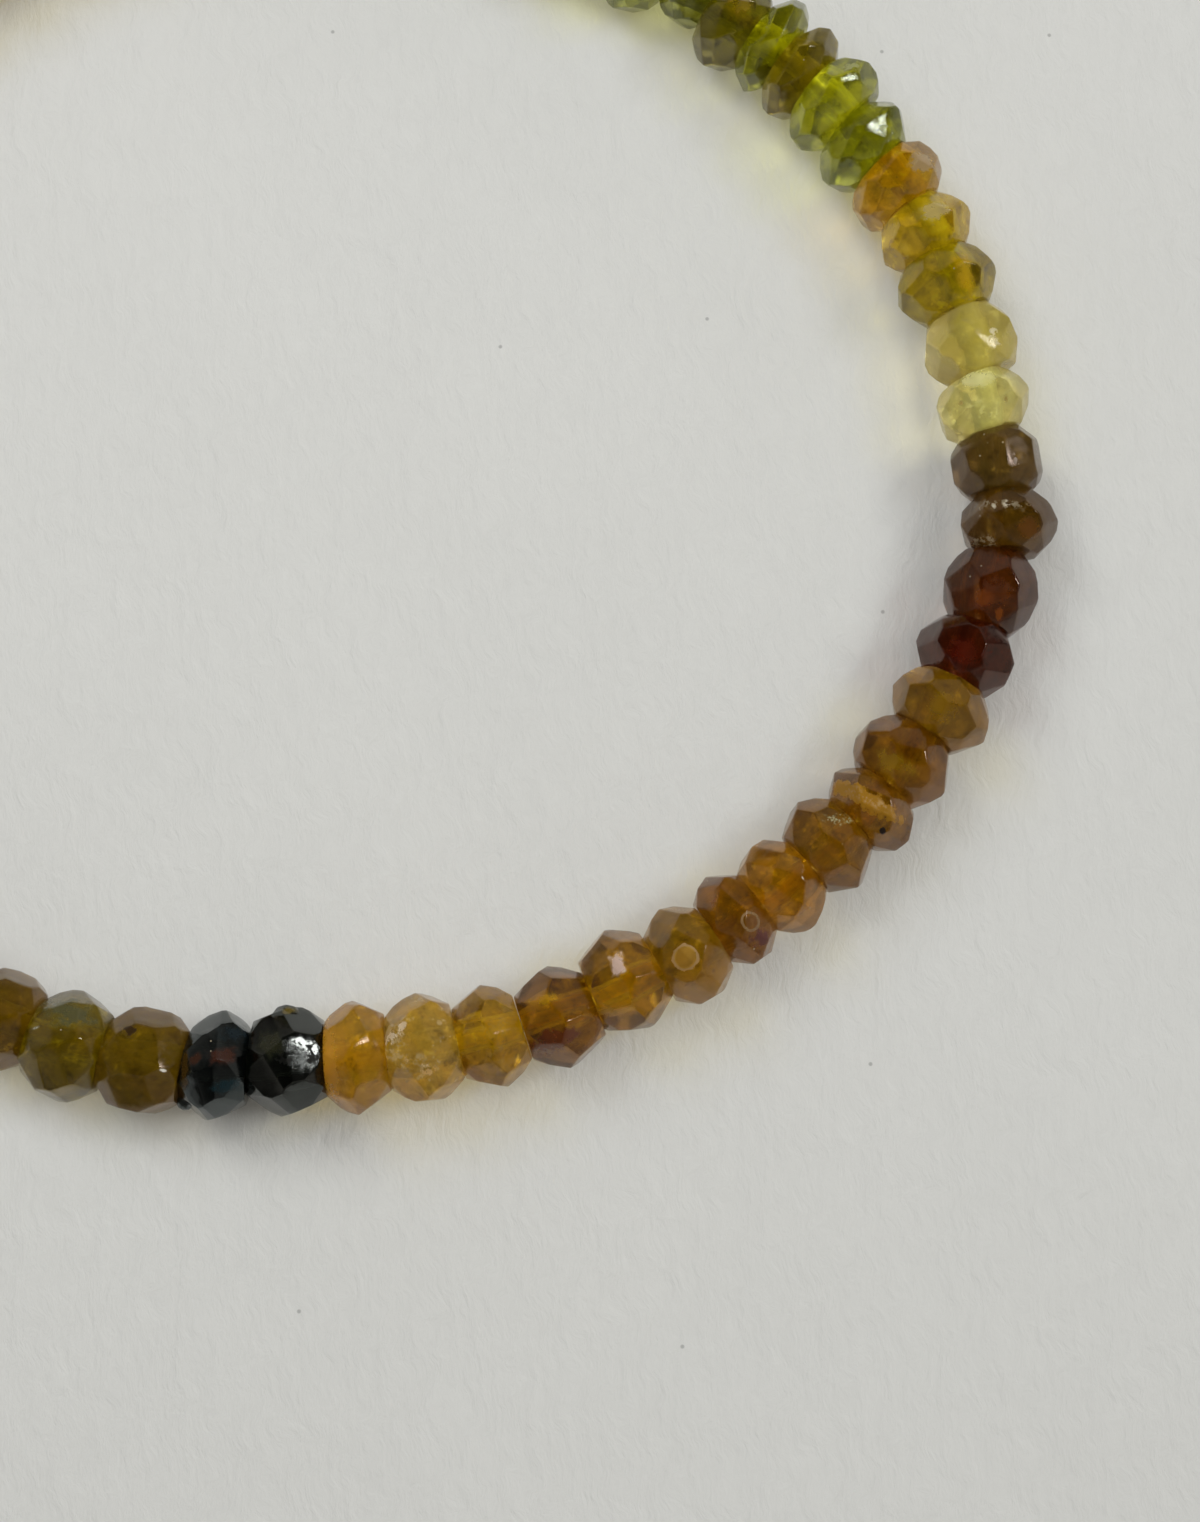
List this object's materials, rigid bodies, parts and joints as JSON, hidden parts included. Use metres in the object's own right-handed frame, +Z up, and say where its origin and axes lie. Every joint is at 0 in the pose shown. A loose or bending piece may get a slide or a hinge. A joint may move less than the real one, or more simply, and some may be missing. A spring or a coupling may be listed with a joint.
{
  "type": "beaded bracelet",
  "caption": "Stretch bracelet of small hand-faceted gemstone rondelles, graded from dark brown through honey and wine red to olive green, strung on clear elastic as one closed loop, lying flat.",
  "frame": {"origin": "middle of the loop, on the surface that the beads lie on", "axes": "+Z up, along the bore of the loop that the wrist goes through; +X along the loop's longer width; +Y along its shorter width"},
  "size_m": [0.0698, 0.0656, 0.0053],
  "materials": {
    "olive_stone": "translucent olive green gemstone, hand-faceted, semi-polished",
    "brown_stone": "translucent brown gemstone with an amber heart, hand-faceted",
    "dark_stone": "nearly black green gemstone, glossy facets",
    "honey_stone": "translucent honey gemstone with fine fractures, hand-faceted",
    "wine_stone": "dark wine red gemstone, glossy facets",
    "cocoa_stone": "cloudy cocoa brown gemstone, softly rounded facets",
    "lemon_stone": "milky lemon gemstone, softly polished",
    "green_stone": "clear yellow-green gemstone, glossy facets",
    "clear_elastic": "clear glossy elastic monofilament"
  },
  "bodies": {
    "root": {"bead_01": "brown_stone", "bead_02": "olive_stone", "bead_03": "brown_stone", "bead_04": "dark_stone", "bead_05": "dark_stone", "bead_06": "honey_stone", "bead_07": "honey_stone", "bead_08": "honey_stone", "bead_09": "brown_stone", "bead_10": "honey_stone", "bead_11": "honey_stone", "bead_12": "brown_stone", "bead_13": "honey_stone", "bead_14": "brown_stone", "bead_15": "brown_stone", "bead_16": "brown_stone", "bead_17": "honey_stone", "bead_18": "wine_stone", "bead_19": "wine_stone", "bead_20": "cocoa_stone", "bead_21": "cocoa_stone", "bead_22": "lemon_stone", "bead_23": "lemon_stone", "bead_24": "olive_stone", "bead_25": "honey_stone", "bead_26": "honey_stone", "bead_27": "green_stone", "bead_28": "green_stone", "bead_29": "olive_stone", "bead_30": "green_stone", "bead_31": "olive_stone", "bead_32": "green_stone", "bead_33": "green_stone", "bead_34": "olive_stone", "bead_35": "green_stone", "bead_36": "olive_stone", "bead_37": "cocoa_stone", "bead_38": "brown_stone", "bead_39": "olive_stone", "bead_40": "brown_stone", "bead_row_1": "olive_stone", "bead_row_2": "honey_stone", "bead_row_3": "honey_stone", "bead_row_4": "brown_stone", "bead_row_5": "brown_stone", "bead_row_6": "cocoa_stone", "elastic_cord": "clear_elastic"}
  },
  "joints": []
}
